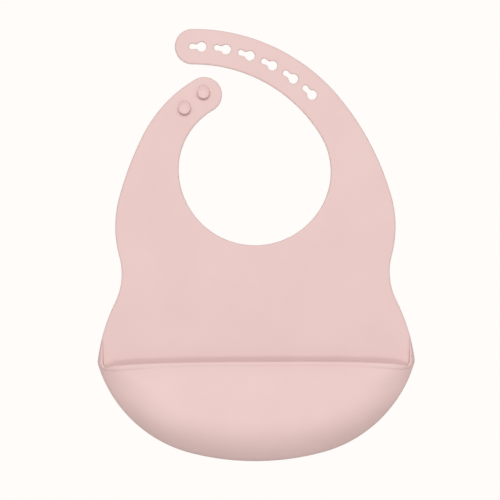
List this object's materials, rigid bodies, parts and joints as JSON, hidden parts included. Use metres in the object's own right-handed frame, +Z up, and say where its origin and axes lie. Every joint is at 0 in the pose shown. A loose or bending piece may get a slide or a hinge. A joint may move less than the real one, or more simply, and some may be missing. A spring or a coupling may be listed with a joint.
{
  "type": "silicone bib",
  "caption": "Soft moulded bib sheet with a round neck opening, a stud strap, a keyhole strap and a deep catch pocket along the bottom.",
  "frame": {"origin": "centre of the round neck opening, in the plane of the sheet's back face", "axes": "+X to the right of the bib seen from its front, +Y out of the back face towards the wearer, +Z up towards the straps"},
  "size_m": [0.23, 0.02, 0.3135],
  "materials": {
    "silicone": "matte"
  },
  "bodies": {
    "upper_panel": {"upper_panel": "silicone"},
    "waist_panel": {"waist_panel": "silicone"},
    "lower_panel": {"lower_panel": "silicone", "pocket_gusset": "silicone"},
    "pocket_front": {"pocket_front": "silicone", "pocket_lip": "silicone"},
    "hole_strap_link_1": {"hole_strap_link_1": "silicone"},
    "hole_strap_link_2": {"hole_strap_link_2": "silicone"},
    "hole_strap_link_3": {"hole_strap_link_3": "silicone"},
    "hole_strap_link_4": {"hole_strap_link_4": "silicone"},
    "hole_strap_link_5": {"hole_strap_link_5": "silicone"},
    "hole_strap_link_6": {"hole_strap_link_6": "silicone"},
    "hole_strap_link_7": {"hole_strap_link_7": "silicone"},
    "hole_strap_link_8": {"hole_strap_link_8": "silicone"},
    "hole_strap_link_9": {"hole_strap_link_9": "silicone"},
    "stud_strap_link_1": {"stud_strap_link_1": "silicone"},
    "stud_strap_link_2": {"stud_strap_link_2": "silicone"},
    "stud_strap_link_3": {"stud_strap_link_3": "silicone", "lower_stud": "silicone"},
    "stud_strap_link_4": {"stud_strap_link_4": "silicone", "upper_stud": "silicone"}
  },
  "joints": [
    {"name": "waist_bend_upper", "type": "hinge", "parent": "upper_panel", "child": "waist_panel", "pos_m": [0, -0.001, -0.066], "axis": [-1, 0, 0], "range_deg": [-8, 35], "stiffness_Nm_per_rad": 0.06},
    {"name": "waist_bend_lower", "type": "hinge", "parent": "waist_panel", "child": "lower_panel", "pos_m": [0, -0.001, -0.098], "axis": [-1, 0, 0], "range_deg": [-8, 35], "stiffness_Nm_per_rad": 0.06},
    {"name": "pocket_open", "type": "hinge", "parent": "lower_panel", "child": "pocket_front", "pos_m": [0, -0.0187, -0.1961], "axis": [1, 0, 0], "range_deg": [-3, 20], "stiffness_Nm_per_rad": 0.03},
    {"name": "hole_strap_bend_1", "type": "hinge", "parent": "upper_panel", "child": "hole_strap_link_1", "pos_m": [0.07465, -0.001, -0.0158], "axis": [-0.9928, 0, -0.1198], "range_deg": [-5, 12], "stiffness_Nm_per_rad": 0.02},
    {"name": "hole_strap_bend_2", "type": "hinge", "parent": "hole_strap_link_1", "child": "hole_strap_link_2", "pos_m": [0.07118, -0.001, 0.00171], "axis": [-0.9635, 0, -0.2676], "range_deg": [-5, 12], "stiffness_Nm_per_rad": 0.02},
    {"name": "hole_strap_bend_3", "type": "hinge", "parent": "hole_strap_link_2", "child": "hole_strap_link_3", "pos_m": [0.06512, -0.001, 0.0185], "axis": [-0.9124, 0, -0.4093], "range_deg": [-5, 12], "stiffness_Nm_per_rad": 0.02},
    {"name": "hole_strap_bend_4", "type": "hinge", "parent": "hole_strap_link_3", "child": "hole_strap_link_4", "pos_m": [0.05661, -0.001, 0.03419], "axis": [-0.8406, 0, -0.5417], "range_deg": [-5, 12], "stiffness_Nm_per_rad": 0.02},
    {"name": "hole_strap_bend_5", "type": "hinge", "parent": "hole_strap_link_4", "child": "hole_strap_link_5", "pos_m": [0.04583, -0.001, 0.04843], "axis": [-0.7496, 0, -0.6618], "range_deg": [-5, 12], "stiffness_Nm_per_rad": 0.02},
    {"name": "hole_strap_bend_6", "type": "hinge", "parent": "hole_strap_link_5", "child": "hole_strap_link_6", "pos_m": [0.03304, -0.001, 0.06088], "axis": [-0.6417, 0, -0.7669], "range_deg": [-5, 12], "stiffness_Nm_per_rad": 0.02},
    {"name": "hole_strap_bend_7", "type": "hinge", "parent": "hole_strap_link_6", "child": "hole_strap_link_7", "pos_m": [0.01853, -0.001, 0.07128], "axis": [-0.5192, 0, -0.8546], "range_deg": [-5, 12], "stiffness_Nm_per_rad": 0.02},
    {"name": "hole_strap_bend_8", "type": "hinge", "parent": "hole_strap_link_7", "child": "hole_strap_link_8", "pos_m": [0.00262, -0.001, 0.07937], "axis": [-0.3849, 0, -0.9229], "range_deg": [-5, 12], "stiffness_Nm_per_rad": 0.02},
    {"name": "hole_strap_bend_9", "type": "hinge", "parent": "hole_strap_link_8", "child": "hole_strap_link_9", "pos_m": [-0.01433, -0.001, 0.08498], "axis": [-0.2419, 0, -0.9703], "range_deg": [-5, 12], "stiffness_Nm_per_rad": 0.02},
    {"name": "stud_strap_bend_1", "type": "hinge", "parent": "upper_panel", "child": "stud_strap_link_1", "pos_m": [-0.06536, -0.001, 0.00919], "axis": [-0.9903, 0, 0.1392], "range_deg": [-6, 15], "stiffness_Nm_per_rad": 0.02},
    {"name": "stud_strap_bend_2", "type": "hinge", "parent": "stud_strap_link_1", "child": "stud_strap_link_2", "pos_m": [-0.06202, -0.001, 0.02257], "axis": [-0.9397, 0, 0.342], "range_deg": [-6, 15], "stiffness_Nm_per_rad": 0.02},
    {"name": "stud_strap_bend_3", "type": "hinge", "parent": "stud_strap_link_2", "child": "stud_strap_link_3", "pos_m": [-0.05597, -0.001, 0.03497], "axis": [-0.848, 0, 0.5299], "range_deg": [-6, 15], "stiffness_Nm_per_rad": 0.02},
    {"name": "stud_strap_bend_4", "type": "hinge", "parent": "stud_strap_link_3", "child": "stud_strap_link_4", "pos_m": [-0.04373, -0.001, 0.04943], "axis": [-0.6626, 0, 0.749], "range_deg": [-6, 15], "stiffness_Nm_per_rad": 0.02}
  ],
  "couplings": [
    {"joint": "waist_bend_upper", "follows": "waist_bend_lower", "ratio": 1},
    {"joint": "hole_strap_bend_2", "follows": "hole_strap_bend_1", "ratio": 1},
    {"joint": "hole_strap_bend_3", "follows": "hole_strap_bend_1", "ratio": 1},
    {"joint": "hole_strap_bend_4", "follows": "hole_strap_bend_1", "ratio": 1},
    {"joint": "hole_strap_bend_5", "follows": "hole_strap_bend_1", "ratio": 1},
    {"joint": "hole_strap_bend_6", "follows": "hole_strap_bend_1", "ratio": 1},
    {"joint": "hole_strap_bend_7", "follows": "hole_strap_bend_1", "ratio": 1},
    {"joint": "hole_strap_bend_8", "follows": "hole_strap_bend_1", "ratio": 1},
    {"joint": "hole_strap_bend_9", "follows": "hole_strap_bend_1", "ratio": 1},
    {"joint": "stud_strap_bend_2", "follows": "stud_strap_bend_1", "ratio": 1},
    {"joint": "stud_strap_bend_3", "follows": "stud_strap_bend_1", "ratio": 1},
    {"joint": "stud_strap_bend_4", "follows": "stud_strap_bend_1", "ratio": 1}
  ]
}
